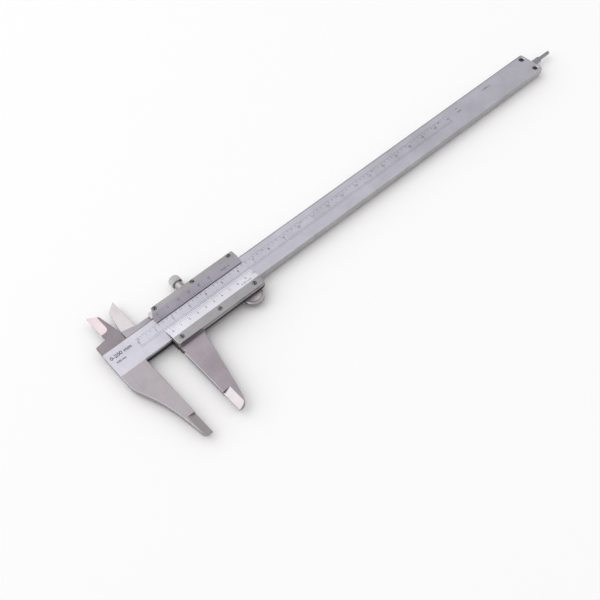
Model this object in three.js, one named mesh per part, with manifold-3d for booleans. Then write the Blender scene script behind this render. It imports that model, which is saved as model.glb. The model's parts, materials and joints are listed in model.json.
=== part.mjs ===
// Vernier caliper, 0 to 200 mm, lying on its back.
//
// Millimetres. +X runs along the beam towards the depth rod, +Y towards the inside jaws and
// +Z out of the front face. Inside this file x = 0 is the measuring face of the fixed outside
// jaw, y = 0 is the lower edge of the beam and z = 0 is the back of the slider. Pieces on the
// slider are drawn with x = 0 on its own measuring face. The finished group is then moved so
// that its origin is the centre of the bottom of its bounding box.

import * as THREE from 'three';
import { mergeVertices } from 'three/addons/utils/BufferGeometryUtils.js';
import Module from 'manifold-3d';

const wasm = await Module();
wasm.setup();

// ---------------------------------------------------------------- driving dimensions

const OPENING = 15.3;             // gap between the outside jaws as stored
const SLIDE_GAP = 0.1;            // running clearance between the slider and the beam
const STACK_GAP = 0.02;           // joint line between pieces that are screwed together
const PAST = 1;                   // how far a cutter runs past the faces it cuts

const BEAM_WIDTH = 16;
const BEAM_THICKNESS = 3.8;
const BEAM_LENGTH = 281.5;        // measuring face to the depth end
const HEAD_LEFT = -13.8;          // back of the fixed head
const JAW_LENGTH = 50;            // outside jaws, below the beam
const HORN_TIP = 39.4;            // inside jaws, height of their tips
const HORN_EDGE = -7.6;           // inside measuring edge of either horn, on its own jaw
const HORN_WIDTH = 5.1;           // from that edge to where the tip's slant starts
const SLIDER_STOP_GAP = 0.3;      // left between the fixed head and the closed slider
const EDGE_BREAK = 0.18;          // chamfer that takes the sharpness off the edges
const COARSE = 6;                 // steps along a small rounded corner

const COVER_THICKNESS = 0.5;
const WALL_THICKNESS = 1.4;
const PLATE_THICKNESS = 2.2;
const SLIDER_LENGTH = 53.2;
const RAIL_TOP = 20.2;
const RAIL_BOTTOM = -6;

// ---------------------------------------------------------------- levels worked out from them

const WALL_Z = COVER_THICKNESS + STACK_GAP;
const WALL_FRONT_Z = WALL_Z + WALL_THICKNESS;
const BEAM_Z = WALL_FRONT_Z + SLIDE_GAP;
const BEAM_FRONT_Z = BEAM_Z + BEAM_THICKNESS;
const BEAM_MID_Z = BEAM_Z + BEAM_THICKNESS / 2;
const PLATE_Z = BEAM_FRONT_Z + SLIDE_GAP;
const PLATE_FRONT_Z = PLATE_Z + PLATE_THICKNESS;
const RAIL_FRONT_Z = PLATE_Z - STACK_GAP;

// ---------------------------------------------------------------- depth rod and its groove

const GROOVE = { x: 9, y: 8, width: 3.6, depth: 2.1 };
const ROD = { start: 12, width: 3, thickness: 1.8, tipLength: 7.5, tipWidth: 1.4 };
const ROD_Z = BEAM_Z + SLIDE_GAP;
const ROD_LENGTH = BEAM_LENGTH - ROD.start;
const PIN = { x: 15, radius: 0.8 };

// ---------------------------------------------------------------- gib, lock and fasteners

const GIB = { start: 3, end: 50, thickness: 0.6, clearance: 0.15 };
const GIB_Y = BEAM_WIDTH + GIB.clearance;
const GIB_HEIGHT = BEAM_THICKNESS - 0.2;
const POCKET_TOP = GIB_Y + GIB.thickness + GIB.clearance;
const LAND = 0.4;                 // slack at each end of the gib in its pocket

const LOCK = { x: 22, shankRadius: 1.7, neckRadius: 2.3, headRadius: 3.1, headLength: 4.9, head: 25.1 };
const SET_SCREW = { radius: 1, length: 3.1, places: [9.5, 39.5] };

const PLATE_SCREW = { head: 1.1, headDepth: 1, shank: 0.7, length: 4.6 };
const END_SCREW = { head: 1.3, headDepth: 1, shank: 0.9, length: 5.3 };
const COVER_SCREW = { head: 1.2, headDepth: 0.3, shank: 0.7, length: 1.5 };
const HOLE_CLEARANCE = 0.12;
const SLOT = { width: 0.45, depth: 0.45 };

const UPPER_SCREWS = { y: 18.7, places: [3.9, 26.6, 49.3] };
const LOWER_SCREWS = { y: -3.4, places: [3.9, 26.6, 48] };
const END_SCREWS = { x: BEAM_LENGTH - 3.1, lower: 3, upper: 13 };
const COVER_SCREWS = { y: 17.6, places: [6, 44] };

const ROUND = 24;                 // sides of a screw or of its hole
const FINE_ROUND = 48;            // sides of the knurled head

// ---------------------------------------------------------------- materials

const steel = (color, roughness) => new THREE.MeshStandardMaterial({ color, roughness, metalness: 1 });
const satinChrome = () => steel('#c4c5cc', 0.42);
const groundSteel = () => steel('#9a989b', 0.36);
const darkSteel = () => steel('#77757d', 0.45);
const brightSteel = () => steel('#d5d5d8', 0.25);
const screwSteel = () => steel('#55545a', 0.4);
const springSteel = () => steel('#6d6a66', 0.35);

// ---------------------------------------------------------------- solids

// A closed three.js geometry as a solid that can be joined and cut.
function solid(geometry) {
  const bare = geometry.clone();
  bare.deleteAttribute('normal');
  bare.deleteAttribute('uv');
  const merged = mergeVertices(bare, 1e-5);
  const vertProperties = new Float32Array(merged.attributes.position.array);
  const triVerts = new Uint32Array(merged.index.array);
  return new wasm.Manifold(new wasm.Mesh({ numProp: 3, vertProperties, triVerts }));
}

// The three.js geometry of a solid, with flat faces.
function geometryOf(body) {
  const { vertProperties, triVerts } = body.getMesh();
  const geometry = new THREE.BufferGeometry();
  geometry.setAttribute('position', new THREE.BufferAttribute(new Float32Array(vertProperties), 3));
  geometry.setIndex(new THREE.BufferAttribute(new Uint32Array(triVerts), 1));
  const flat = geometry.toNonIndexed();
  flat.computeVertexNormals();
  return flat;
}

function block([x0, x1], [y0, y1], [z0, z1]) {
  const geometry = new THREE.BoxGeometry(x1 - x0, y1 - y0, z1 - z0);
  geometry.translate((x0 + x1) / 2, (y0 + y1) / 2, (z0 + z1) / 2);
  return solid(geometry);
}

// An outline in the XY plane, raised from z0 to z1, with its edges broken by a small chamfer.
function slab(shape, [z0, z1], { chamfer = EDGE_BREAK, curveSegments = 10 } = {}) {
  const geometry = new THREE.ExtrudeGeometry(shape, {
    depth: z1 - z0 - 2 * chamfer,
    bevelEnabled: chamfer > 0,
    bevelThickness: chamfer,
    bevelSize: chamfer,
    bevelOffset: -chamfer,
    bevelSegments: 1,
    curveSegments,
  });
  geometry.translate(0, 0, z0 + chamfer);
  return solid(geometry);
}

// A round bar along Z.
function barAlongZ(radius, x, y, [z0, z1], sides = ROUND) {
  const geometry = new THREE.CylinderGeometry(radius, radius, z1 - z0, sides);
  geometry.rotateX(Math.PI / 2);
  geometry.translate(x, y, (z0 + z1) / 2);
  return solid(geometry);
}

// A round bar along Y.
function barAlongY(radius, x, z, [y0, y1], sides = ROUND) {
  const geometry = new THREE.CylinderGeometry(radius, radius, y1 - y0, sides);
  geometry.translate(x, (y0 + y1) / 2, z);
  return solid(geometry);
}

// A bar along Y whose section is a triangle or other outline in X and Z.
function barOfSection(points, [y0, y1]) {
  const shape = new THREE.Shape(points.map(([x, z]) => new THREE.Vector2(x, -z)));
  const geometry = new THREE.ExtrudeGeometry(shape, { depth: y1 - y0, bevelEnabled: false });
  geometry.rotateX(-Math.PI / 2);
  geometry.translate(0, y0, 0);
  return solid(geometry);
}

// A bar along X whose section is an outline in Y and Z.
function barOfProfile(points, [x0, x1]) {
  const shape = new THREE.Shape(points.map(([y, z]) => new THREE.Vector2(y, z)));
  const geometry = new THREE.ExtrudeGeometry(shape, { depth: x1 - x0, bevelEnabled: false });
  geometry.rotateY(Math.PI / 2);
  geometry.rotateX(Math.PI / 2);
  geometry.translate(x0, 0, 0);
  return solid(geometry);
}

function outline(points) {
  return new THREE.Shape(points.map(([x, y]) => new THREE.Vector2(x, y)));
}

function cut(body, ...cutters) {
  return cutters.reduce((left, cutter) => left.subtract(cutter), body);
}

function join(body, ...others) {
  return others.reduce((whole, other) => whole.add(other), body);
}

function mesh(name, body, material, [x, y, z] = [0, 0, 0]) {
  const piece = new THREE.Mesh(geometryOf(body), material);
  piece.name = name;
  piece.position.set(x, y, z);
  return piece;
}

// ---------------------------------------------------------------- fasteners

// A slotted cheese-head screw: its head's top is at z = 0 and it points down.
function screw({ head, headDepth, shank, length }) {
  const tip = shank * 0.35;
  const profile = [
    [0, -length],
    [shank - tip, -length],
    [shank, tip - length],
    [shank, -headDepth],
    [head, -headDepth],
    [head, -0.1],
    [head - 0.1, 0],
    [0, 0],
  ].map(([r, z]) => new THREE.Vector2(r, z));
  const geometry = new THREE.LatheGeometry(profile, ROUND);
  geometry.rotateX(Math.PI / 2);
  const slot = block([-head - PAST, head + PAST], [-SLOT.width / 2, SLOT.width / 2], [-SLOT.depth, PAST]);
  return cut(solid(geometry), slot);
}

// The stepped hole for such a screw whose head's top is at z.
function screwHole({ head, headDepth, shank, length }, x, y, z) {
  const headHole = barAlongZ(head + HOLE_CLEARANCE, x, y, [z - headDepth - STACK_GAP, z + PAST]);
  const shankHole = barAlongZ(shank + HOLE_CLEARANCE, x, y, [z - length - HOLE_CLEARANCE, z]);
  return headHole.add(shankHole);
}

// ---------------------------------------------------------------- beam with the fixed jaws

// The beam, its head and the fixed jaw in full thickness: up the measuring face, out along the
// beam and back, then down a straight back and a hollow curve to a slim tip.
function beamOutline() {
  const corner = 0.8;
  const shape = new THREE.Shape();
  shape.moveTo(0, -JAW_LENGTH);
  shape.lineTo(0, 0);
  shape.lineTo(BEAM_LENGTH - corner, 0);
  shape.lineTo(BEAM_LENGTH, corner);
  shape.lineTo(BEAM_LENGTH, BEAM_WIDTH - corner);
  shape.lineTo(BEAM_LENGTH - corner, BEAM_WIDTH);
  shape.lineTo(HEAD_LEFT + 1, BEAM_WIDTH);
  shape.lineTo(HEAD_LEFT, BEAM_WIDTH - 1);
  shape.lineTo(HEAD_LEFT, -6.5);
  shape.quadraticCurveTo(HEAD_LEFT, -9, HEAD_LEFT + 1, -11.5);
  shape.bezierCurveTo(-9, -21, -7, -26, -5.4, -37);
  shape.lineTo(-4, 2.6 - JAW_LENGTH);
  shape.quadraticCurveTo(-3.4, 0.4 - JAW_LENGTH, -1, -JAW_LENGTH);
  return shape;
}

// The fixed horn and the head it grows from, in the front half of the beam's thickness so that
// the moving horn passes behind it.
function fixedHornOutline() {
  const shape = new THREE.Shape();
  shape.moveTo(-SLIDER_STOP_GAP, BEAM_WIDTH - PAST);
  shape.lineTo(HEAD_LEFT, BEAM_WIDTH - PAST);
  shape.lineTo(HEAD_LEFT, BEAM_WIDTH);
  shape.lineTo(HEAD_LEFT + 0.2, 21.2);
  shape.lineTo(HORN_EDGE - 1, 21.9);
  shape.quadraticCurveTo(HORN_EDGE, 22, HORN_EDGE, 23.2);
  shape.lineTo(HORN_EDGE, HORN_TIP);
  shape.lineTo(HORN_EDGE + HORN_WIDTH, HORN_TIP - 4.5);
  shape.lineTo(-SLIDER_STOP_GAP, 22.6);
  return shape;
}

// The knife edge along the end of an outside jaw, as the two wedges ground off its faces.
function knifeCutters(side, top) {
  const width = 4;
  const lip = 0.9;
  const drop = (BEAM_THICKNESS - lip) / 2;
  const span = [-JAW_LENGTH - PAST, top];
  const wedge = (z, away) => barOfSection(
    [[side * width, z], [side * width, z + away * PAST], [-side * PAST, z + away * PAST],
      [-side * PAST, z - away * drop], [0, z - away * drop]],
    span,
  );
  return [wedge(BEAM_FRONT_Z, 1), wedge(BEAM_Z, -1)];
}

// The bevel ground on one face of an inside horn, out to its measuring edge. side is +1 where the
// horn lies on the +X side of that edge, and away is +1 for the horn's front and -1 for its back.
// The grinding wheel leaves the bevel's lower end round.
function hornBevel(side, away, faceZ) {
  const width = 4.1;
  const drop = 1.2;
  const start = 25.2;
  const corner = 2.6;
  const wedge = barOfSection(
    [[HORN_EDGE + side * width, faceZ], [HORN_EDGE + side * width, faceZ + away * PAST],
      [HORN_EDGE - side * PAST, faceZ + away * PAST], [HORN_EDGE - side * PAST, faceZ - away * drop],
      [HORN_EDGE, faceZ - away * drop]],
    [start, HORN_TIP + PAST],
  );
  const ground = new THREE.Shape();
  ground.moveTo(HORN_EDGE - side * 2 * PAST, start);
  ground.lineTo(HORN_EDGE + side * (width - corner), start);
  ground.quadraticCurveTo(HORN_EDGE + side * width, start, HORN_EDGE + side * width, start + corner);
  ground.lineTo(HORN_EDGE + side * width, HORN_TIP + 2 * PAST);
  ground.lineTo(HORN_EDGE - side * 2 * PAST, HORN_TIP + 2 * PAST);
  return wedge.intersect(slab(ground, [0, PLATE_FRONT_Z], { chamfer: 0 }));
}

const FIXED_HORN_Z = BEAM_MID_Z + SLIDE_GAP / 2;
const MOVING_HORN_FRONT_Z = BEAM_MID_Z - SLIDE_GAP / 2;

function makeBeam() {
  const bar = cut(slab(beamOutline(), [BEAM_Z, BEAM_FRONT_Z]), ...knifeCutters(-1, -37.5));
  const horn = cut(slab(fixedHornOutline(), [FIXED_HORN_Z, BEAM_FRONT_Z]), hornBevel(1, 1, BEAM_FRONT_Z));
  const groove = block(
    [GROOVE.x, BEAM_LENGTH + PAST],
    [GROOVE.y - GROOVE.width / 2, GROOVE.y + GROOVE.width / 2],
    [BEAM_Z - PAST, BEAM_Z + GROOVE.depth],
  );
  const holes = [END_SCREWS.lower, END_SCREWS.upper]
    .map((y) => screwHole(END_SCREW, END_SCREWS.x, y, BEAM_FRONT_Z));
  return cut(join(bar, horn), groove, ...holes);
}

function makeEndPlate() {
  const margin = 1.4;
  const plate = slab(outline([
    [BEAM_LENGTH - 9, margin],
    [BEAM_LENGTH, margin],
    [BEAM_LENGTH, BEAM_WIDTH - margin],
    [BEAM_LENGTH - 9, BEAM_WIDTH - margin],
  ]), [0, BEAM_Z - STACK_GAP]);
  const holes = [END_SCREWS.lower, END_SCREWS.upper]
    .map((y) => screwHole(END_SCREW, END_SCREWS.x, y, BEAM_FRONT_Z));
  return cut(plate, ...holes);
}

// ---------------------------------------------------------------- slider

function railOutline(bottom, top, cornerLeft, cornerRight) {
  const shape = new THREE.Shape();
  const end = SLIDER_LENGTH;
  shape.moveTo(0, bottom);
  shape.lineTo(end - cornerRight.bottom, bottom);
  shape.quadraticCurveTo(end, bottom, end, bottom + cornerRight.bottom);
  shape.lineTo(end, top - cornerRight.top);
  shape.quadraticCurveTo(end, top, end - cornerRight.top, top);
  shape.lineTo(cornerLeft, top);
  shape.quadraticCurveTo(0, top, 0, top - cornerLeft);
  return shape;
}

// The moving outside jaw, with the small relief that ends its measuring face below the slider.
function movingJawOutline() {
  const root = RAIL_BOTTOM + PAST;
  const shape = new THREE.Shape();
  shape.moveTo(0, root);
  shape.lineTo(0, -7.4);
  shape.lineTo(0.7, -8);
  shape.lineTo(0.7, -9.6);
  shape.lineTo(0, -10.2);
  shape.lineTo(0, -JAW_LENGTH);
  shape.lineTo(1, -JAW_LENGTH);
  shape.quadraticCurveTo(4.6, 0.8 - JAW_LENGTH, 5.6, 4 - JAW_LENGTH);
  shape.bezierCurveTo(8, -36, 11, -21, 13.4, -9);
  shape.quadraticCurveTo(14, -7, 15.4, root);
  return shape;
}

// The moving horn and the arm that carries it, in the back half of the beam's thickness.
function movingHornOutline() {
  const shape = new THREE.Shape();
  const root = HORN_EDGE + SLIDER_STOP_GAP * 2 - HORN_WIDTH - 2.8;
  const armBottom = BEAM_WIDTH + 0.9;
  const armTop = RAIL_TOP - 0.3;
  shape.moveTo(PAST, armBottom);
  shape.lineTo(PAST, armTop);
  shape.lineTo(HORN_EDGE + 1.4, armTop);
  shape.quadraticCurveTo(HORN_EDGE, armTop, HORN_EDGE, armTop + 1.4);
  shape.lineTo(HORN_EDGE, HORN_TIP);
  shape.lineTo(HORN_EDGE - HORN_WIDTH, HORN_TIP - 4.5);
  shape.lineTo(root, armTop + 2);
  shape.lineTo(root, armBottom);
  return shape;
}

const THUMB = { x: 44.4, y: -6.2, radius: 5.3, low: BEAM_Z + 0.6, high: BEAM_FRONT_Z - 1, chamfer: 0.4 };
const UNDERCUT = { y: -3.4, z: 4 };   // the lower rail is cut back behind its front flange

function makeSliderBody() {
  const wall = slab(
    railOutline(RAIL_BOTTOM, RAIL_TOP, 1.2, { bottom: 3, top: 1.2 }),
    [WALL_Z, WALL_FRONT_Z],
    { curveSegments: COARSE },
  );
  const lowerRail = slab(
    railOutline(RAIL_BOTTOM, -SLIDE_GAP, 0.3, { bottom: 3, top: 0.3 }),
    [WALL_Z, RAIL_FRONT_Z],
    { curveSegments: COARSE },
  );
  const upperRail = slab(
    railOutline(BEAM_WIDTH + SLIDE_GAP, RAIL_TOP, 1.2, { bottom: 0.3, top: 1.2 }),
    [WALL_Z, RAIL_FRONT_Z],
    { curveSegments: COARSE },
  );
  const jaw = cut(slab(movingJawOutline(), [BEAM_Z, BEAM_FRONT_Z]), ...knifeCutters(1, -38.5));
  const horn = cut(slab(movingHornOutline(), [BEAM_Z, MOVING_HORN_FRONT_Z]), hornBevel(-1, -1, BEAM_Z));
  const undercut = block([-PAST, SLIDER_LENGTH + PAST], [RAIL_BOTTOM - PAST, UNDERCUT.y], [0, UNDERCUT.z]);
  const disc = new THREE.Shape();
  disc.absarc(THUMB.x, THUMB.y, THUMB.radius, 0, 2 * Math.PI);
  const thumb = slab(disc, [THUMB.low, THUMB.high], { chamfer: THUMB.chamfer, curveSegments: 20 });
  const clearOfBeam = block(
    [THUMB.x - THUMB.radius - PAST, THUMB.x + THUMB.radius + PAST],
    [-SLIDE_GAP, PAST],
    [WALL_FRONT_Z, PLATE_FRONT_Z],
  );
  const gibPocket = block(
    [GIB.start - LAND, GIB.end + LAND],
    [BEAM_WIDTH, POCKET_TOP],
    [WALL_FRONT_Z, RAIL_FRONT_Z + PAST],
  );
  const lockHole = barAlongY(LOCK.shankRadius + 0.2, LOCK.x, BEAM_MID_Z, [BEAM_WIDTH, RAIL_TOP + PAST]);
  const setHoles = SET_SCREW.places
    .map((x) => barAlongY(SET_SCREW.radius + HOLE_CLEARANCE, x, BEAM_MID_Z, [BEAM_WIDTH, RAIL_TOP + PAST]));
  const upperHoles = UPPER_SCREWS.places
    .map((x) => screwHole(PLATE_SCREW, x, UPPER_SCREWS.y, PLATE_FRONT_Z));
  const lowerHoles = LOWER_SCREWS.places
    .map((x) => screwHole(PLATE_SCREW, x, LOWER_SCREWS.y, PLATE_FRONT_Z));
  const coverHoleRadius = COVER_SCREW.shank + HOLE_CLEARANCE;
  const coverHoles = COVER_SCREWS.places
    .map((x) => barAlongZ(coverHoleRadius, x, COVER_SCREWS.y, [0, COVER_SCREW.length + 0.2]));
  const pinHole = barAlongZ(PIN.radius + HOLE_CLEARANCE, PIN.x, GROOVE.y, [0, WALL_FRONT_Z + PAST]);
  return cut(
    join(cut(join(wall, lowerRail), undercut), upperRail, jaw, horn, cut(thumb, clearOfBeam)),
    gibPocket,
    lockHole,
    pinHole,
    ...setHoles,
    ...upperHoles,
    ...lowerHoles,
    ...coverHoles,
  );
}

// A vernier plate: a flat strip screwed to its rail, with a wide bevel down to a thin edge that
// lies just above the scale on the beam. Its two outer corners are cut off or rounded.
function makeVernierPlate({ edge, bevelTop, outer, corners, screws }) {
  const lip = 0.3;
  const left = 0.3;
  const right = SLIDER_LENGTH - 0.6;
  const side = Math.sign(outer - edge);
  const bar = barOfProfile([
    [edge, PLATE_Z],
    [outer, PLATE_Z],
    [outer, PLATE_FRONT_Z],
    [bevelTop, PLATE_FRONT_Z],
    [edge, PLATE_Z + lip],
  ], [left, right]);
  const shape = new THREE.Shape();
  shape.moveTo(left, edge - side * PAST);
  shape.lineTo(right, edge - side * PAST);
  shape.lineTo(right, outer - side * corners.right);
  shape.quadraticCurveTo(right, outer, right - corners.right, outer);
  shape.lineTo(left + corners.leftX, outer);
  shape.lineTo(left, outer - side * corners.leftY);
  const plate = bar.intersect(slab(shape, [PLATE_Z, PLATE_FRONT_Z], { curveSegments: COARSE }));
  const holes = screws.places.map((x) => screwHole(PLATE_SCREW, x, screws.y, PLATE_FRONT_Z));
  return cut(plate, ...holes);
}

function makeBackCover() {
  const margin = 0.8;
  const cover = slab(outline([
    [margin, UNDERCUT.y + margin],
    [SLIDER_LENGTH - margin, UNDERCUT.y + margin],
    [SLIDER_LENGTH - margin, RAIL_TOP - 2],
    [SLIDER_LENGTH - 2, RAIL_TOP - margin],
    [2, RAIL_TOP - margin],
    [margin, RAIL_TOP - 2],
  ]), [0, COVER_THICKNESS], { chamfer: 0.15 });
  const { y, places } = COVER_SCREWS;
  const { head, headDepth, shank } = COVER_SCREW;
  const holes = places.map((x) => join(
    barAlongZ(shank + HOLE_CLEARANCE, x, y, [-PAST, COVER_THICKNESS + PAST]),
    barAlongZ(head + HOLE_CLEARANCE, x, y, [-PAST, headDepth + STACK_GAP]),
  ));
  return cut(cover, ...holes);
}

// ---------------------------------------------------------------- depth rod

function makeDepthRod() {
  const half = ROD.width / 2;
  const tipHalf = ROD.tipWidth / 2;
  const shoulder = ROD_LENGTH - ROD.tipLength;
  const blade = slab(outline([
    [0, -half],
    [shoulder - 0.8, -half],
    [shoulder, -tipHalf],
    [ROD_LENGTH, -tipHalf],
    [ROD_LENGTH, tipHalf],
    [shoulder, tipHalf],
    [shoulder - 0.8, half],
    [0, half],
  ]), [0, ROD.thickness], { chamfer: 0.15 });
  const pinHole = barAlongZ(PIN.radius + HOLE_CLEARANCE, PIN.x - ROD.start, 0, [-PAST, ROD.thickness + PAST]);
  return cut(blade, pinHole);
}

// ---------------------------------------------------------------- lock screw and gib

// The knurled lock screw, drawn along Y with its tip at y = 0.
function makeLockScrew() {
  const tip = GIB_Y + GIB.thickness + 0.03;
  const headStart = LOCK.head - tip;
  const headEnd = headStart + LOCK.headLength;
  const shoulder = RAIL_TOP + 0.3 - tip;
  const chamfer = 0.5;
  const profile = [
    [0, 0],
    [LOCK.shankRadius - chamfer, 0],
    [LOCK.shankRadius, chamfer],
    [LOCK.shankRadius, shoulder],
    [LOCK.neckRadius, shoulder],
    [LOCK.neckRadius, headStart],
    [LOCK.headRadius - chamfer, headStart],
    [LOCK.headRadius, headStart + chamfer],
    [LOCK.headRadius, headEnd - chamfer],
    [LOCK.headRadius - chamfer, headEnd],
    [0, headEnd],
  ].map(([r, y]) => new THREE.Vector2(r, y));
  return mesh('lock_screw', solid(new THREE.LatheGeometry(profile, FINE_ROUND)), brightSteel(),
    [LOCK.x, tip, BEAM_MID_Z]);
}

// A slotted set screw along Y, its outer end at y = 0.
function makeSetScrew() {
  const { radius, length } = SET_SCREW;
  const body = join(
    barAlongY(radius, 0, 0, [-length + 0.6, 0]),
    barAlongY(radius * 0.6, 0, 0, [-length, -length + 0.7]),
  );
  return cut(body, block([-radius - PAST, radius + PAST], [-0.6, PAST], [-0.2, 0.2]));
}

// ---------------------------------------------------------------- assembly

const frame = new THREE.Group();
frame.add(mesh('beam', makeBeam(), satinChrome()));
frame.add(mesh('beam_end_plate', makeEndPlate(), groundSteel()));
for (const [side, y] of [['lower', END_SCREWS.lower], ['upper', END_SCREWS.upper]]) {
  frame.add(mesh(`beam_end_screw_${side}`, screw(END_SCREW), screwSteel(), [END_SCREWS.x, y, BEAM_FRONT_Z]));
}

const slider = new THREE.Group();
slider.position.x = OPENING;
slider.add(mesh('slider_body', makeSliderBody(), groundSteel()));
slider.add(mesh('upper_vernier_plate', makeVernierPlate({
  edge: 12.4,
  bevelTop: 16.8,
  outer: RAIL_TOP,
  corners: { leftX: 2.4, leftY: 5, right: 0.6 },
  screws: UPPER_SCREWS,
}), darkSteel()));
slider.add(mesh('lower_vernier_plate', makeVernierPlate({
  edge: 6,
  bevelTop: -1.2,
  outer: RAIL_BOTTOM,
  corners: { leftX: 0.8, leftY: 0.8, right: 2.4 },
  screws: LOWER_SCREWS,
}), brightSteel()));
for (const [row, { y, places }] of [['upper', UPPER_SCREWS], ['lower', LOWER_SCREWS]]) {
  places.forEach((x, i) => {
    slider.add(mesh(`${row}_plate_screw_${i + 1}`, screw(PLATE_SCREW), screwSteel(), [x, y, PLATE_FRONT_Z]));
  });
}
SET_SCREW.places.forEach((x, i) => {
  slider.add(mesh(`gib_set_screw_${i + 1}`, makeSetScrew(), screwSteel(), [x, RAIL_TOP - 0.2, BEAM_MID_Z]));
});
slider.add(mesh('gib_strip', block(
  [GIB.start, GIB.end],
  [GIB_Y, GIB_Y + GIB.thickness],
  [BEAM_MID_Z - GIB_HEIGHT / 2, BEAM_MID_Z + GIB_HEIGHT / 2],
), springSteel()));
slider.add(makeLockScrew());
slider.add(mesh('depth_rod', makeDepthRod(), groundSteel(), [ROD.start, GROOVE.y, ROD_Z]));
slider.add(mesh('depth_rod_pin', barAlongZ(PIN.radius, 0, 0, [0, ROD_Z + 1.5 - WALL_Z]), screwSteel(),
  [PIN.x, GROOVE.y, WALL_Z]));
slider.add(mesh('slider_back_cover', makeBackCover(), groundSteel()));
COVER_SCREWS.places.forEach((x, i) => {
  const piece = mesh(`back_cover_screw_${i + 1}`, screw(COVER_SCREW), screwSteel(), [x, COVER_SCREWS.y, 0]);
  piece.rotation.x = Math.PI;
  slider.add(piece);
});

const caliper = new THREE.Group();
caliper.add(frame, slider);

// Move the origin to the centre of the bottom of the bounding box.
const bounds = new THREE.Box3().setFromObject(caliper, true);
const centre = bounds.getCenter(new THREE.Vector3());
caliper.position.set(-centre.x, -centre.y, -bounds.min.z);

export default caliper;
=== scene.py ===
"""Looks for the vernier caliper: finished metals, filled scales, screws, knurling and studio light."""

import json
import math

import bmesh
import bpy
from mathutils import Matrix, Vector


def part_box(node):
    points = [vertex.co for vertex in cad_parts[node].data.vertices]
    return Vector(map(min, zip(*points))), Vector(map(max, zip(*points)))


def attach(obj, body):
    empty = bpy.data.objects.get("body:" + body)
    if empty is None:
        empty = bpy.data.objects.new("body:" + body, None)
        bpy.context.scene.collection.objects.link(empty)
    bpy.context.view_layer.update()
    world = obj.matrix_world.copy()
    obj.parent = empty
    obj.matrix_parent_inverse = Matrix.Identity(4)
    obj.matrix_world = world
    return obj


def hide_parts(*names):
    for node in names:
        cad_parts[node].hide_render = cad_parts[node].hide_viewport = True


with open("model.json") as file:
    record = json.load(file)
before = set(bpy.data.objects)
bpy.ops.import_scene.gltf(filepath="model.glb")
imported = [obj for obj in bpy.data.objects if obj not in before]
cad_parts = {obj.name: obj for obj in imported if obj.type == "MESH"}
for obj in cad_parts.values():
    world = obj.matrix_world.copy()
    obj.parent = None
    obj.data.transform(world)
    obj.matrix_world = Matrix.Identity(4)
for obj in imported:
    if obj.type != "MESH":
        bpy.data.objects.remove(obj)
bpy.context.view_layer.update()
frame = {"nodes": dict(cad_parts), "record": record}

MM = 0.001

# ---------------------------------------------------------------- places taken from the frame

MOUNTS = {mount["name"]: Vector(mount["pos_m"]) for mount in frame["record"]["mounts"]}
BEAM_WIDTH = 16 * MM
JAW_X = MOUNTS["fixed_outside_jaw"].x
SLIDER_X = MOUNTS["moving_outside_jaw"].x
ROD_LOW, ROD_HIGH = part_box("depth_rod")
BEAM_Y = (ROD_LOW.y + ROD_HIGH.y - BEAM_WIDTH) / 2  # lower edge of the beam, whose middle the rod follows
FRONT_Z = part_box("beam")[1].z

# Heights on the caliper's face, in millimetres above the beam's lower edge.
SATIN_TOP = 15.4
RAIL_TOP = 20.2
RAIL_BOTTOM = -6


def on_beam(x, y, z=0.0):
    """A point given in millimetres from the fixed jaw's face, the beam's lower edge and its front face."""
    return Vector((JAW_X + x * MM, BEAM_Y + y * MM, FRONT_Z + z * MM))


def on_slider(x, y, z=0.0):
    """The same, with x from the moving jaw's face."""
    return Vector((SLIDER_X + x * MM, BEAM_Y + y * MM, FRONT_Z + z * MM))


# ---------------------------------------------------------------- camera and light


def make_camera():
    """Looks down on the face from beyond the fixed jaw, as at a caliper handed across a table."""
    aim = on_beam(73.4, -24.91)
    towards_camera = Vector((-0.3441, -0.4675, 0.8143)).normalized()
    distance = 418.3 * MM
    roll = math.radians(-6.385)
    data = bpy.data.cameras.new("camera")
    data.lens = 52.6
    data.clip_start = 0.01
    data.clip_end = 20
    camera = bpy.data.objects.new("camera", data)
    bpy.context.scene.collection.objects.link(camera)
    level = (-towards_camera).to_track_quat("-Z", "Y").to_matrix().to_4x4()
    turned = level @ Matrix.Rotation(roll, 4, "Z")
    turned.translation = aim + towards_camera * distance
    camera.matrix_world = turned
    bpy.context.scene.camera = camera


def make_world():
    """A white studio that is brightest beyond the inside jaws."""
    brightest_towards = Vector((-0.5, 0.78, 0.32)).normalized()
    weakest, strongest = 0.5, 1.15
    world = bpy.data.worlds.new("studio")
    bpy.context.scene.world = world
    world.use_nodes = True
    nodes, links = world.node_tree.nodes, world.node_tree.links
    background = nodes["Background"]
    background.inputs["Color"].default_value = (1.0, 0.985, 0.99, 1)
    direction = nodes.new("ShaderNodeTexCoord")
    facing = nodes.new("ShaderNodeVectorMath")
    facing.operation = "DOT_PRODUCT"
    facing.inputs[1].default_value = brightest_towards
    links.new(direction.outputs["Generated"], facing.inputs[0])
    strength = nodes.new("ShaderNodeMapRange")
    strength.interpolation_type = "SMOOTHSTEP"
    strength.inputs["From Min"].default_value = -0.2
    strength.inputs["From Max"].default_value = 0.8
    strength.inputs["To Min"].default_value = weakest
    strength.inputs["To Max"].default_value = strongest
    links.new(facing.outputs["Value"], strength.inputs["Value"])
    links.new(strength.outputs["Result"], background.inputs["Strength"])


def softbox(name, towards, distance, size, watts):
    """A square area light in a direction from the origin, which it faces."""
    data = bpy.data.lights.new(name, "AREA")
    data.size = size
    data.energy = watts
    light = bpy.data.objects.new(name, data)
    bpy.context.scene.collection.objects.link(light)
    direction = Vector(towards).normalized()
    place = (-direction).to_track_quat("-Z", "Y").to_matrix().to_4x4()
    place.translation = direction * distance
    light.matrix_world = place


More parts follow.
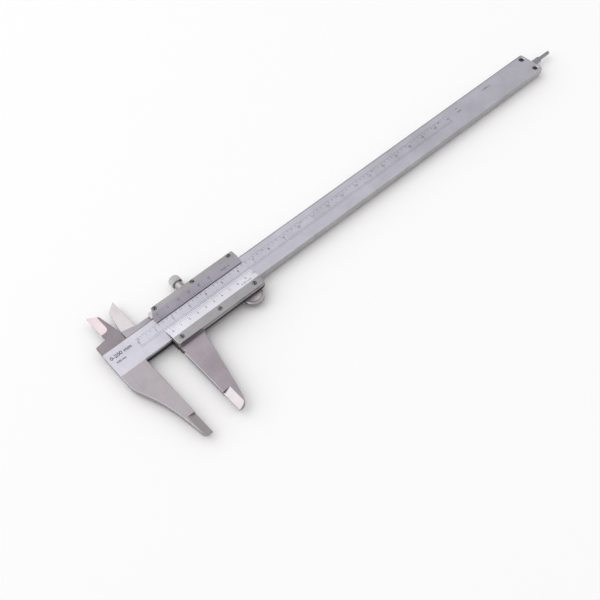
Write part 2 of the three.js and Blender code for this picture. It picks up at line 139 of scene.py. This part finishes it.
def make_floor():
    """White paper, just under the caliper."""
    half = 40.0
    gap = 0.05 * MM
    material = bpy.data.materials.new("floor_paper")
    material.use_nodes = True
    shader = material.node_tree.nodes["Principled BSDF"]
    shader.inputs["Base Color"].default_value = (0.96, 0.96, 0.96, 1)
    shader.inputs["Roughness"].default_value = 0.9
    shader.inputs["Specular IOR Level"].default_value = 0.1
    corners = [(-half, -half, 0), (half, -half, 0), (half, half, 0), (-half, half, 0)]
    mesh = bpy.data.meshes.new("floor")
    mesh.from_pydata(corners, [], [(0, 1, 2, 3)])
    mesh.materials.append(material)
    floor = bpy.data.objects.new("floor", mesh)
    floor.location.z = -gap
    bpy.context.scene.collection.objects.link(floor)


make_camera()
make_world()
softbox("key_light", towards=(-0.45, 0.6, 0.66), distance=1.2, size=1.4, watts=4)
softbox("fill_light", towards=(0.5, -0.4, 0.8), distance=1.4, size=1.4, watts=3)
make_floor()
bpy.context.scene.view_settings.view_transform = "Standard"

# ---------------------------------------------------------------- materials

USUAL_NOISE = (0.35, 0.65)  # most of a noise's values lie between these


class Graph:
    """Adds shader nodes to one material and links them as they are made."""

    def __init__(self, name):
        self.material = bpy.data.materials.new(name)
        self.material.use_nodes = True
        self.tree = self.material.node_tree
        self.shader = self.tree.nodes["Principled BSDF"]
        self.place = self.add("ShaderNodeTexCoord").outputs["Object"]

    def add(self, kind, links=None, **values):
        """A node with values set on its inputs and other nodes' outputs linked to them."""
        node = self.tree.nodes.new(kind)
        for name, value in values.items():
            node.inputs[name.replace("_", " ")].default_value = value
        for name, source in (links or {}).items():
            self.tree.links.new(source, node.inputs[name])
        return node

    def noise(self, size, detail):
        """Noise whose features have a size along each axis, in millimetres."""
        scale = [1 / (length * MM) for length in size]
        stretched = self.add("ShaderNodeMapping", {"Vector": self.place}, Scale=scale).outputs["Vector"]
        return self.add("ShaderNodeTexNoise", {"Vector": stretched}, Scale=1, Detail=detail).outputs["Fac"]

    def blend(self, first, second, share):
        """A mix of two values, with a share of the second."""
        return self.add("ShaderNodeMix", {"A": first, "B": second}, Factor=share).outputs["Result"]

    def ramp(self, source, dark, light):
        """A colour between two tones, by a noise."""
        node = self.add("ShaderNodeValToRGB", {"Fac": source})
        for element, position, tone in zip(node.color_ramp.elements, USUAL_NOISE, (dark, light)):
            element.position, element.color = position, (*tone, 1)
        return node.outputs["Color"]

    def spread(self, source, low, high, to_low, to_high):
        """A value moved from one range to another, and kept inside it."""
        values = {"From_Min": low, "From_Max": high, "To_Min": to_low, "To_Max": to_high}
        return self.add("ShaderNodeMapRange", {"Value": source}, **values).outputs["Result"]

    def further(self, start, end):
        """From 0 at the start to 1 at the end, along X or along Z, whichever is further on."""
        place = self.add("ShaderNodeSeparateXYZ", {"Vector": self.place})
        furthest = self.add("ShaderNodeMath")
        furthest.operation = "MAXIMUM"
        along = self.spread(place.outputs["X"], start.x, end.x, 0, 1)
        raised = self.spread(place.outputs["Z"], start.z, end.z, 0, 1)
        self.tree.links.new(along, furthest.inputs[0])
        self.tree.links.new(raised, furthest.inputs[1])
        return furthest.outputs["Value"]


def metal(name, dark, light, roughness, grain, metallic=1.0, fade=None):
    """Metal with a fine grain, smudges and a slow drift of tone.

    roughness is its lowest and highest, and grain its size along each axis in millimetres.
    fade is the dark and the light of a second tone, and the points where it starts and is complete.
    """
    graph = Graph(name)
    graph.shader.inputs["Metallic"].default_value = metallic
    fine = graph.noise(grain, 4)
    drift = graph.noise(even(11), 3)
    smudge = graph.noise((2.5, 1.2, 2.5), 5)

    tone = graph.blend(drift, fine, 0.45)
    colour = graph.ramp(tone, dark, light)
    if fade:
        far_dark, far_light, start, end = fade
        ends = {"Color1": colour, "Color2": graph.ramp(tone, far_dark, far_light)}
        faded = graph.further(start, end)
        colour = graph.add("ShaderNodeMixRGB", {"Fac": faded, **ends}).outputs["Color"]
    graph.tree.links.new(colour, graph.shader.inputs["Base Color"])

    worn = graph.blend(tone, smudge, 0.5)
    rough = graph.spread(worn, *USUAL_NOISE, *roughness)
    graph.tree.links.new(rough, graph.shader.inputs["Roughness"])

    height = graph.add("ShaderNodeBump", {"Height": fine}, Strength=0.12, Distance=0.02 * MM)
    graph.tree.links.new(height.outputs["Normal"], graph.shader.inputs["Normal"])
    return graph.material


def even(size):
    return (size, size, size)


def along_x(length, width):
    return (length, width, width)


def along_y(length, width):
    return (width, length, width)


def around_y(length, width):
    return (length, width, length)


SATIN = metal("satin_chrome_face", (0.455, 0.455, 0.51), (0.57, 0.57, 0.635), (0.38, 0.48), even(0.25))
GROUND = metal("ground_steel_face", (0.30, 0.275, 0.295), (0.385, 0.36, 0.38), (0.32, 0.42), along_y(6, 0.12))
SLIDER_GROUND = metal(
    "ground_slider_face", (0.28, 0.25, 0.275), (0.36, 0.33, 0.355), (0.32, 0.42), along_y(6, 0.12)
)
HEAD_GROUND = metal(
    "ground_head_face", (0.19, 0.17, 0.185), (0.26, 0.235, 0.25), (0.34, 0.44), along_y(5, 0.12)
)
HORN_GROUND = metal(
    "ground_horn_face", (0.46, 0.435, 0.445), (0.57, 0.545, 0.555), (0.3, 0.4), along_y(5, 0.12)
)
ARM_GROUND = metal(
    "ground_arm_face", (0.27, 0.257, 0.275), (0.355, 0.34, 0.36), (0.3, 0.4), along_x(5, 0.12)
)
STRIP = metal(
    "ground_steel_strip", (0.27, 0.265, 0.275), (0.36, 0.355, 0.365), (0.32, 0.42), along_x(6, 0.12)
)
# Painted shade: near-black steel for side faces that lie in shadow, such as the slider's undersides and the
# vernier plates' lips.
PAINTED_SHADE_SIDE = metal("steel_side_painted_shade", (0.05, 0.047, 0.052), (0.09, 0.085, 0.09), (0.45, 0.6), along_x(6, 0.12))
# Painted shade on the beam's long sides: near-black between the jaws and towards the floor, fading to the
# steel's own tone further right and towards the front face.
PAINTED_SHADE_BEAM_SIDE = metal(
    "beam_side_painted_shade", (0.04, 0.037, 0.042), (0.07, 0.065, 0.07), (0.4, 0.52), along_x(6, 0.12),
    fade=((0.40, 0.39, 0.40), (0.56, 0.55, 0.55), on_beam(20, 0, -1.7), on_beam(64, 0, -0.9)),
)
EDGE = metal("worn_edge", (0.50, 0.49, 0.50), (0.68, 0.67, 0.68), (0.3, 0.42), even(1.5))
LAPPED = metal("lapped_steel", (0.45, 0.385, 0.395), (0.55, 0.48, 0.49), (0.24, 0.34), along_y(4, 0.1))
KNIFE = metal("knife_edge_steel", (0.43, 0.40, 0.41), (0.56, 0.53, 0.54), (0.26, 0.36), along_y(4, 0.1))
# Painted shade: the fixed jaw's knife bevel is a darker copy of the knife-edge steel.
PAINTED_SHADE_FIXED_KNIFE = metal(
    "fixed_knife_painted_shade", (0.35, 0.32, 0.335), (0.46, 0.43, 0.445), (0.26, 0.36), along_y(4, 0.1)
)
# Painted highlight: the thumb rest's dish is much lighter than the slider's steel, lit against the shade of
# the flange above it.
PAINTED_HIGHLIGHT_DISH = metal("thumb_dish_painted_highlight", (0.62, 0.57, 0.58), (0.78, 0.73, 0.74), (0.26, 0.38), even(0.3))
# Painted shade and painted highlight: two copies of the plates' satin chrome, darkened for the upper plate's
# bevel and brightened for the lower plate's bevel.
PAINTED_SHADE_CHROME = metal("satin_chrome_painted_shade", (0.36, 0.34, 0.40), (0.45, 0.43, 0.49), (0.36, 0.46), even(0.25))
PAINTED_HIGHLIGHT_CHROME = metal("satin_chrome_painted_highlight", (0.58, 0.58, 0.63), (0.70, 0.70, 0.75), (0.30, 0.40), even(0.2))
TURNED = metal("turned_bright_steel", (0.37, 0.37, 0.37), (0.52, 0.52, 0.51), (0.3, 0.42), around_y(3, 0.1))
KNURL = metal("knurled_steel", (0.36, 0.36, 0.36), (0.54, 0.54, 0.53), (0.32, 0.45), even(0.3))
NECK = metal("turned_neck_steel", (0.34, 0.315, 0.325), (0.44, 0.41, 0.42), (0.32, 0.45), around_y(3, 0.1))
# Painted shade: near-black turned steel for the underside of the lock screw's head.
PAINTED_SHADE_UNDER_HEAD = metal("under_head_painted_shade", (0.04, 0.038, 0.04), (0.08, 0.075, 0.08), (0.45, 0.6), even(0.2))
# Painted shade: screw heads darkened, the beam's end screws and the gib's set screws the most.
PAINTED_SHADE_SCREW = metal("screw_painted_shade", (0.13, 0.13, 0.135), (0.22, 0.22, 0.225), (0.3, 0.45), even(0.15))
PAINTED_DEEP_SHADE_SCREW = metal("screw_painted_deep_shade", (0.05, 0.05, 0.055), (0.11, 0.11, 0.12), (0.3, 0.45), even(0.15))
# Painted shade: near-black inside the screws' slots.
PAINTED_SLOT_SHADE = metal("slot_painted_shade", (0.01, 0.01, 0.012), (0.03, 0.03, 0.032), (0.6, 0.8), even(0.1), metallic=0.3)
SPRING = metal("spring_steel_strip", (0.17, 0.16, 0.15), (0.24, 0.23, 0.22), (0.3, 0.42), along_x(5, 0.1))
PAINT = metal(
    "engraving_paint", (0.03, 0.03, 0.036), (0.07, 0.07, 0.08), (0.5, 0.7), even(0.2), metallic=0.0
)

# ---------------------------------------------------------------- mesh helpers

SMOOTH_BELOW = math.radians(28)  # neighbouring faces shade as one surface below this angle
SLIVER = 0.0008 * MM             # points closer than this are one
FACING = 0.9                     # a face turns to an axis if its normal has more than this along it

# The least share of a face's normal that points straight out of the front or the back, by kind.
FLAT = 0.99
BEVEL = 0.8
BROKEN_EDGE = 0.55


def piece(name, shape, materials, body, slot, *nodes):
    """Turns a bmesh into a piece that rides on a body and stands for CAD nodes."""
    bmesh.ops.remove_doubles(shape, verts=shape.verts, dist=SLIVER)
    bmesh.ops.dissolve_degenerate(shape, dist=SLIVER, edges=shape.edges)
    shape.normal_update()
    for face in shape.faces:
        face.smooth = True
    for edge in shape.edges:
        one_finish = len({face.material_index for face in edge.link_faces}) == 1
        edge.smooth = edge.is_manifold and one_finish and edge.calc_face_angle(math.pi) < SMOOTH_BELOW
    mesh = bpy.data.meshes.new(name)
    shape.to_mesh(mesh)
    shape.free()
    for material in materials:
        mesh.materials.append(material)
    thing = bpy.data.objects.new(name, mesh)
    bpy.context.scene.collection.objects.link(thing)
    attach(thing, body)
    if nodes:
        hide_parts(*nodes)


def revolve(profile, count, place, radius_at=None):
    """A closed turned shape: profile points are radius and height, and the ends lie on the axis.

    radius_at gives the radius at one of the steps round, from the profile's own.
    """
    shape = bmesh.new()
    rings = []
    for radius, height in profile:
        if radius == 0:
            rings.append([shape.verts.new(place @ Vector((0, 0, height)))])
            continue
        ring = []
        for step in range(count):
            turn = 2 * math.pi * step / count
            reach = radius_at(radius, step) if radius_at else radius
            point = Vector((reach * math.cos(turn), reach * math.sin(turn), height))
            ring.append(shape.verts.new(place @ point))
        rings.append(ring)
    for low, high in zip(rings, rings[1:]):
        for step in range(count):
            after = (step + 1) % count
            if len(low) == 1:
                shape.faces.new((low[0], high[after], high[step]))
            elif len(high) == 1:
                shape.faces.new((low[step], low[after], high[0]))
            else:
                shape.faces.new((low[step], low[after], high[after], high[step]))
    bmesh.ops.recalc_face_normals(shape, faces=shape.faces)
    return shape


def carve(shape, cutter):
    """The first shape less the second, with a boolean that is applied at once."""
    things = []
    for source in (shape, cutter):
        mesh = bpy.data.meshes.new("rough")
        source.to_mesh(mesh)
        source.free()
        things.append(bpy.data.objects.new("rough", mesh))
        bpy.context.scene.collection.objects.link(things[-1])
    cutting = things[0].modifiers.new("cut", "BOOLEAN")
    cutting.object = things[1]
    cutting.operation = "DIFFERENCE"
    cutting.solver = "EXACT"
    result = bmesh.new()
    result.from_object(things[0], bpy.context.evaluated_depsgraph_get())
    for thing in things:
        bpy.data.objects.remove(thing)
    return result


def copy_of(node):
    """A CAD node's shape, as a mesh that can be cut and given several finishes."""
    shape = bmesh.new()
    shape.from_mesh(frame["nodes"][node].data)
    bmesh.ops.remove_doubles(shape, verts=shape.verts, dist=0.001 * MM)
    return shape


def cut_level(shape, y, **keep):
    """Divides the faces along a level. clear_outer=True also takes away what is above it."""
    geometry = [*shape.verts, *shape.edges, *shape.faces]
    return bmesh.ops.bisect_plane(shape, geom=geometry, plane_co=(0, y, 0), plane_no=(0, 1, 0), **keep)


def kind_of(face):
    """What a face is, by how far it tips from the caliper's face: ground bevels little, broken edges more."""
    tilt = abs(face.normal.z)
    if tilt > FLAT:
        return "flat"
    if tilt > BEVEL:
        return "bevel"
    return "edge" if tilt > BROKEN_EDGE else "side"


def finish(shape, choose):
    """Gives each face the finish that choose names for it, and returns the list of finishes."""
    materials = []
    shape.normal_update()
    for face in shape.faces:
        material = choose(face)
        if material not in materials:
            materials.append(material)
        face.material_index = materials.index(material)
    return materials


# ---------------------------------------------------------------- beam and slider


def countersink(shape, screw):
    """The shape with a shallow cone cut round a screw's head in the front face."""
    sink = 0.35 * MM
    low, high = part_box(screw)
    centre = (low + high) / 2
    rim = (high.x - low.x) / 2 + 0.12 * MM
    place = Matrix.Translation((centre.x, centre.y, FRONT_Z))
    cone = [(0, -sink), (rim + 0.1 * MM, -sink), (rim + 2 * sink, sink), (0, sink)]
    return carve(shape, revolve(cone, 48, place))


def make_beam():
    """Satin scale band along the whole beam and head, with ground jaws, and painted shade on the long sides
    and the fixed jaw's knife bevel.
    """
    band_low = on_beam(0, 0).y
    band_high = on_beam(0, SATIN_TOP).y
    groove_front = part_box("beam")[0].z + 0.5 * MM
    shape = copy_of("beam")
    for screw in ("beam_end_screw_lower", "beam_end_screw_upper"):
        shape = countersink(shape, screw)
    bmesh.ops.dissolve_limit(shape, angle_limit=math.radians(0.1), verts=shape.verts, edges=shape.edges)
    cut_level(shape, band_low)
    cut_level(shape, band_high)

    def choose(face):
        centre, normal, kind = face.calc_center_median(), face.normal, kind_of(face)
        above = centre.y > band_high
        if kind == "flat" and above:
            return HEAD_GROUND
        if kind == "flat":
            in_groove = normal.z < 0 and centre.z > groove_front
            return STRIP if in_groove else SATIN if centre.y > band_low else GROUND
        # Below the band the knife bevel gets painted shade; the horn's bevel above it is lapped steel.
        if kind == "bevel":
            return LAPPED if above else PAINTED_SHADE_FIXED_KNIFE
        if kind == "edge":
            return HEAD_GROUND if above else EDGE
        # The beam's long sides get painted shade, darkest between the jaws.
        if abs(normal.y) > FACING and centre.x > JAW_X:
            return PAINTED_SHADE_BEAM_SIDE
        return HEAD_GROUND if above else GROUND

    materials = finish(shape, choose)
    piece("beam_finished", shape, materials, "beam", "satin_chrome", "beam")


def thumb_dish(centre, radius, depth, top):
    """A cutter for the thumb rest: a bowl under a short cylinder, flat where it meets the rail."""
    over = 0.1 * MM
    angles = [math.radians(10 * step) for step in range(10)]
    bowl = [(radius * math.sin(angle), -depth * math.cos(angle)) for angle in angles]
    dish = revolve([*bowl, (radius, over), (0, over)], 64, Matrix.Translation(centre))
    sliced = cut_level(dish, top, clear_outer=True)
    rim = [item for item in sliced["geom_cut"] if isinstance(item, bmesh.types.BMEdge)]
    bmesh.ops.contextual_create(dish, geom=rim)
    bmesh.ops.recalc_face_normals(dish, faces=dish.faces)
    return dish


def make_slider():
    """Ground frame with painted shade on its undersides and lower left end, a bright horn, and a dished thumb
    rest with a painted highlight.
    """
    thumb = on_slider(44.4, -6.2, -1.0)
    radius = 4.3 * MM
    depth = 0.5 * MM
    dish_top = on_slider(0, RAIL_BOTTOM - 0.05).y
    shape = carve(copy_of("slider_body"), thumb_dish(thumb, radius, depth, dish_top))
    arm_top = on_slider(0, RAIL_TOP).y
    rail_low = on_slider(0, RAIL_BOTTOM - 0.5).y
    relief = on_slider(0.4, -8)
    hair = 0.01 * MM

    def choose(face):
        centre, normal, kind = face.calc_center_median(), face.normal, kind_of(face)
        # The thumb rest's dish gets a painted highlight.
        in_dish = (centre - thumb).xy.length < radius and -depth * 1.2 < centre.z - thumb.z < -hair
        if in_dish and normal.z > 0.5 and centre.y < dish_top:
            return PAINTED_HIGHLIGHT_DISH
        left_of_rail = centre.x < SLIDER_X and centre.y > BEAM_Y
        if kind == "bevel":
            return LAPPED if left_of_rail else KNIFE
        if left_of_rail:
            return HORN_GROUND if centre.y > arm_top else ARM_GROUND
        if kind == "flat":
            return HORN_GROUND if centre.z > FRONT_Z + hair else SLIDER_GROUND
        # Painted shade on the lower left end and on the faces under the rail.
        lower_left = relief.y < centre.y < BEAM_Y and centre.x < relief.x
        if kind == "edge":
            return PAINTED_SHADE_SIDE if lower_left else EDGE
        under_rail = centre.y > rail_low and normal.y < -0.5
        return PAINTED_SHADE_SIDE if lower_left or under_rail else SLIDER_GROUND

    materials = finish(shape, choose)
    piece("slider_finished", shape, materials, "slider", "ground_steel", "slider_body")


def make_plate(node, chrome, slot, outward):
    """A vernier plate: chromed bevel, ground strip for the screws and painted shade on the lip over the
    scale.

    outward is 1 where the plate's screws are above its bevel, and -1 where they are below it.
    """
    def choose(face):
        kind = kind_of(face)
        # chrome is the bevel's tone: painted shade on the upper plate and a painted highlight on the lower
        # one.
        if kind == "bevel":
            return chrome
        if kind == "edge":
            return EDGE
        # Painted shade on the lip over the scale and on the lower plate's left end.
        lip = face.normal.y * outward < -FACING
        lower_end = outward < 0 and face.normal.x < -FACING
        return PAINTED_SHADE_SIDE if kind == "side" and (lip or lower_end) else STRIP

    shape = copy_of(node)
    materials = finish(shape, choose)
    piece(f"{node}_finished", shape, materials, "slider", slot, node)


make_beam()
make_slider()
make_plate("upper_vernier_plate", PAINTED_SHADE_CHROME, "dark_chrome", 1)
make_plate("lower_vernier_plate", PAINTED_HIGHLIGHT_CHROME, "bright_chrome", -1)

PLAIN_NODES = {
    "beam_end_plate": GROUND, "depth_rod": STRIP, "depth_rod_pin": TURNED, "slider_back_cover": STRIP,
    "gib_strip": SPRING, "gib_set_screw_1": PAINTED_DEEP_SHADE_SCREW, "gib_set_screw_2": PAINTED_DEEP_SHADE_SCREW,
}
for plain_node, plain_finish in PLAIN_NODES.items():
    for material_slot in frame["nodes"][plain_node].material_slots:
        material_slot.material = plain_finish

# ---------------------------------------------------------------- slotted screws

FRONT_HEAD_DEPTH = 1.0 * MM
BACK_HEAD_DEPTH = 0.3 * MM
SLOT_WIDTH = 0.42 * MM


def screw_profile(head, depth, shank, length):
    """A flat head with a rounded rim on a plain shank, below height 0."""
    crown = 0.12 * MM
    tip = shank * 0.35
    return [
        (0, -length),
        (shank - tip, -length),
        (shank, tip - length),
        (shank, -depth),
        (head, -depth),
        (head, -crown * 1.2),
        (head - crown * 0.4, -crown * 0.5),
        (head - crown * 1.4, -crown * 0.15),
        (0, 0),
    ]


def make_screw(node, body, slot_turn, head_painted_shade, facing_back=False):
    """A slotted screw in the place of its CAD node, with its slot turned by so many degrees."""
    low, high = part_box(node)
    centre = (low + high) / 2
    head = (high.x - low.x) / 2
    length = high.z - low.z
    top = low.z if facing_back else high.z
    depth = BACK_HEAD_DEPTH if facing_back else FRONT_HEAD_DEPTH
    place = Matrix.Translation((centre.x, centre.y, top)) @ Matrix.Rotation(math.radians(slot_turn), 4, "Z")
    if facing_back:
        place = place @ Matrix.Rotation(math.pi, 4, "X")
    slot_depth = min(0.5 * MM, depth * 0.7)
    blade = bmesh.new()
    blade_size = Matrix.Diagonal((head * 2.4, SLOT_WIDTH, slot_depth * 2, 1))
    bmesh.ops.create_cube(blade, size=1, matrix=place @ blade_size)
    shape = carve(revolve(screw_profile(head, depth, head * 0.6, length), 64, place), blade)
    from_head = place.inverted()

    def choose(face):
        inside = from_head @ face.calc_center_median()
        # Painted shade: the slot's walls and floor are near-black, and the head itself takes the given
        # darkened colour.
        within = abs(inside.y) < SLOT_WIDTH / 2 + 0.01 * MM and inside.xy.length < head * 0.97
        return PAINTED_SLOT_SHADE if within and -1.1 * slot_depth < inside.z < -0.15 * slot_depth else head_painted_shade

    materials = finish(shape, choose)
    piece(f"{node}_finished", shape, materials, body, "screw_steel", node)


for screw_node, turn in {"beam_end_screw_lower": 35, "beam_end_screw_upper": 118}.items():
    make_screw(screw_node, "beam", turn, PAINTED_DEEP_SHADE_SCREW)
for screw_node, turn in {
    "upper_plate_screw_1": 62, "upper_plate_screw_2": 148, "upper_plate_screw_3": 15,
    "lower_plate_screw_1": 100, "lower_plate_screw_2": 28, "lower_plate_screw_3": 71,
}.items():
    make_screw(screw_node, "slider", turn, PAINTED_SHADE_SCREW)
for screw_node, turn in {"back_cover_screw_1": 40, "back_cover_screw_2": 125}.items():
    make_screw(screw_node, "slider", turn, PAINTED_SHADE_SCREW, facing_back=True)

# ---------------------------------------------------------------- lock screw


def make_lock_screw():
    """Knurled head with a domed end on a neck and a plain shank, along Y."""
    low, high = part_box("lock_screw")
    centre = (low + high) / 2
    head = (high.x - low.x) / 2
    shank = 1.7 * MM
    neck = 2.3 * MM
    neck_start = on_beam(0, RAIL_TOP).y - low.y + 0.3 * MM
    end = high.y - low.y
    head_start = end - 4.9 * MM
    dome_start = end - 0.9 * MM
    rim = 0.45 * MM
    teeth = 36
    steps_per_tooth = 4
    tooth_depth = 0.16 * MM
    profile = [
        (0, 0),
        (shank - 0.5 * MM, 0),
        (shank, 0.5 * MM),
        (shank, neck_start),
        (neck, neck_start),
        (neck, head_start),
        (head * 0.86, head_start),
        (head - rim, head_start + 0.1 * MM),
        (head - 0.1 * MM, head_start + rim),
        (head, head_start + rim + 0.2 * MM),
        (head, end - 1.3 * MM),
        (head - 0.1 * MM, end - 1.1 * MM),
        (head - 0.3 * MM, end - 0.85 * MM),
        (head * 0.82, end - 0.5 * MM),
        (head * 0.6, end - 0.22 * MM),
        (head * 0.35, end - 0.07 * MM),
        (0, end),
    ]

    def knurl(radius, step):
        in_valley = radius >= head - 0.05 * MM and step % steps_per_tooth in (0, 1)
        return radius - tooth_depth if in_valley else radius

    upright = Matrix.Translation((centre.x, low.y, centre.z)) @ Matrix.Rotation(-math.pi / 2, 4, "X")
    shape = revolve(profile, teeth * steps_per_tooth, upright, knurl)

    def choose(face):
        middle = face.calc_center_median()
        height = middle.y - low.y
        reach = math.hypot(middle.x - centre.x, middle.z - centre.z)
        # Painted shade under the head; the neck and shank are plain turned steel.
        if height < head_start + 0.05 * MM:
            return PAINTED_SHADE_UNDER_HEAD if reach > neck * 1.02 else NECK
        return KNURL if reach > head * 0.93 and height < dome_start else TURNED

    materials = finish(shape, choose)
    piece("lock_screw_finished", shape, materials, "lock_screw", "bright_chrome", "lock_screw")


make_lock_screw()

# ---------------------------------------------------------------- graduations and numbers

PROUD = 0.015 * MM  # how far the filled lines stand out of the metal
INCH = 25.4
ZERO = 3.0          # each scale starts this far past its jaw's face
LINE = 0.1          # width of a graduation line
METRIC_LINE = 0.12  # the beam's metric lines are a little bolder
FIGURE_SHARE = 0.7  # height of a figure, as a share of the font's size


def plane(origin, up):
    """A frame on a face, with X along the caliper and Y towards the tops of its numbers."""
    across = Vector((1, 0, 0))
    up = up.normalized()
    columns = Matrix((across, up, across.cross(up))).transposed().to_4x4()
    return Matrix.Translation(origin) @ columns


def vernier_plane(node, outward):
    """The bevel of a vernier plate, from its thin edge."""
    low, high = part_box(node)
    top = [corner.co.y for corner in frame["nodes"][node].data.vertices if corner.co.z > high.z - 0.001 * MM]
    edge_y, top_y = (low.y, min(top)) if outward > 0 else (high.y, max(top))
    edge = Vector((SLIDER_X, edge_y, low.z + 0.3 * MM))
    crest = Vector((SLIDER_X, top_y, high.z))
    return plane(edge, (crest - edge) * outward)


def tick(count, lengths):
    """A graduation's length, which is that of the first step that its count is a multiple of."""
    return next(length for step, length in lengths.items() if count % step == 0)


def lines(name, body, place, marks, width):
    """Filled graduation lines as one piece. A mark is its x and the two heights it runs between."""
    shape = bmesh.new()
    for x, start, end in marks:
        box = Matrix.Diagonal((width * MM, (end - start) * MM, PROUD * 2, 1))
        centre = Matrix.Translation((x * MM, (start + end) / 2 * MM, 0))
        bmesh.ops.create_cube(shape, size=1, matrix=place @ centre @ box)
    piece(name, shape, [PAINT], body, "screw_steel")


def words(name, body, place, labels, weight=0.0):
    """Filled figures as one piece. A label is its text, its centre's x and y, and its figures' height.

    weight is how much bolder the figures are than the font's, on each side of a stroke.
    """
    shape = bmesh.new()
    for text, x, y, height in labels:
        curve = bpy.data.curves.new("rough", "FONT")
        curve.body = text
        curve.size = height * MM / FIGURE_SHARE
        curve.extrude = PROUD
        curve.offset = weight * MM
        curve.resolution_u = 3
        curve.align_x = "CENTER"
        curve.align_y = "CENTER"
        thing = bpy.data.objects.new("rough", curve)
        bpy.context.scene.collection.objects.link(thing)
        ready = thing.evaluated_get(bpy.context.evaluated_depsgraph_get())
        mesh = bpy.data.meshes.new_from_object(ready)
        mesh.transform(place @ Matrix.Translation((x * MM, y * MM, 0)))
        shape.from_mesh(mesh)
        bpy.data.objects.remove(thing)
    piece(name, shape, [PAINT], body, "screw_steel")


def make_beam_scales():
    """Metric lines over the beam's middle with inch lines above them, and marks of range and units."""
    scale = plane(on_beam(ZERO, 0), Vector((0, 1, 0)))
    face = plane(on_beam(0, 0), Vector((0, 1, 0)))

    metric_foot = 6.0
    last = 210
    lengths = {10: 2.5, 5: 2.0, 1: 1.6}
    marks = [(count, metric_foot, metric_foot + tick(count, lengths)) for count in range(last + 1)]
    lines("metric_scale", "beam", scale, marks, METRIC_LINE)
    labels = [(str(count // 10), count, 9.5, 1.5) for count in range(0, last + 1, 10)]
    words("metric_numbers", "beam", scale, labels)

    inch_top = 12.3
    parts = 40
    last = 8 * parts + 12
    lengths = {parts: 1.9, 4: 1.0, 1: 0.55}
    marks = [
        (count * INCH / parts, inch_top - tick(count, lengths), inch_top) for count in range(last + 1)
    ]
    lines("inch_scale", "beam", scale, marks, LINE)
    inches = [(str(count), count * INCH + 0.95, 11.05, 1.2) for count in range(9)]
    tenths = [(str(count % 10), count * INCH / 10, 10.85, 0.75) for count in range(83) if count % 10]
    words("inch_numbers", "beam", scale, inches + tenths)

    marking = [("0-200 mm", -6.4, 10.9, 2.0), ("0.02 mm", -8.4, 7.4, 1.0)]
    words("head_marking", "beam", face, marking, weight=0.05)
    units = [("mm", 222, 9.5, 1.5), ("in", 222, 12.0, 1.3), ("1/1000 in", 246, 11.5, 1.3)]
    words("unit_marking", "beam", face, units)


def make_vernier_scales():
    """Fifty parts over 49 mm on the lower plate, and 25 parts over 1.225 in on the upper one."""
    edge_gap = 0.02

    lower = vernier_plane("lower_vernier_plate", -1)
    pitch = 0.98
    lengths = {5: 2.7, 1: 2.0}
    marks = [(ZERO + count * pitch, -tick(count, lengths), -edge_gap) for count in range(51)]
    lines("lower_vernier_scale", "slider", lower, marks, LINE)
    labels = [(str(count), ZERO + count * 5 * pitch, -3.7, 1.3) for count in range(11)]
    words("lower_vernier_numbers", "slider", lower, [*labels, ("0.02 mm", 46, -5.9, 1.2)])

    upper = vernier_plane("upper_vernier_plate", 1)
    pitch = 1.225 * INCH / 25
    lengths = {5: 2.2, 1: 1.6}
    marks = [(ZERO + count * pitch, edge_gap, tick(count, lengths)) for count in range(26)]
    lines("upper_vernier_scale", "slider", upper, marks, LINE)
    labels = [(str(count), ZERO + count * pitch, 3.1, 1.1) for count in range(0, 26, 5)]
    words("upper_vernier_numbers", "slider", upper, [*labels, ("0.001 in", 44, 2.4, 1.1)])


make_beam_scales()
make_vernier_scales()
